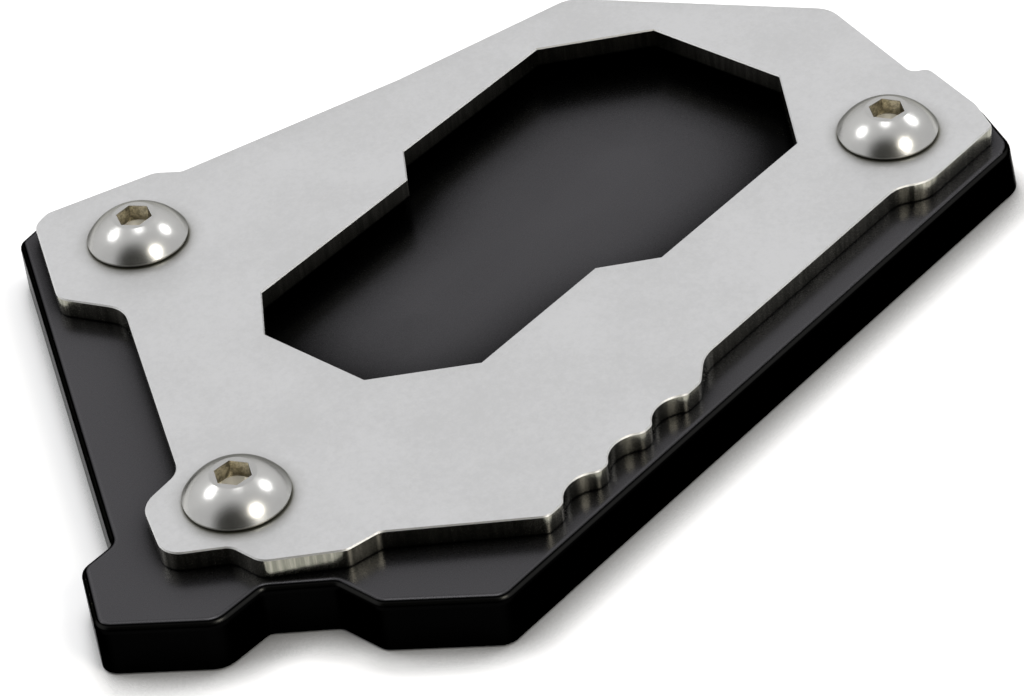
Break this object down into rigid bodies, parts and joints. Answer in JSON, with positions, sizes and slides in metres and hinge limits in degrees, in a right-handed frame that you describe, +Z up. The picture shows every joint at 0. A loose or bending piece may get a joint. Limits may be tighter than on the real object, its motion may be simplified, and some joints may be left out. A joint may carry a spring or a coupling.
{
  "type": "kickstand foot enlarger",
  "caption": "Flat metal pad that clamps round the foot of a motorbike's side stand and gives it a wider bearing face on soft ground.",
  "frame": {"origin": "on the underside of the base plate, below the middle of the opening that takes the stand's foot", "axes": "+X along the opening from its narrow heel end to its toe end, +Y across the opening to the far side, +Z up, away from the ground"},
  "size_m": [0.1058, 0.0712, 0.01],
  "materials": {
    "black_anodised": "satin",
    "blasted_steel": "satin",
    "polished_steel": "polished"
  },
  "bodies": {
    "root": {"base_plate": "black_anodised", "clamp_plate": "blasted_steel", "screw_left": "polished_steel", "screw_front": "polished_steel", "screw_right": "polished_steel"}
  },
  "joints": []
}
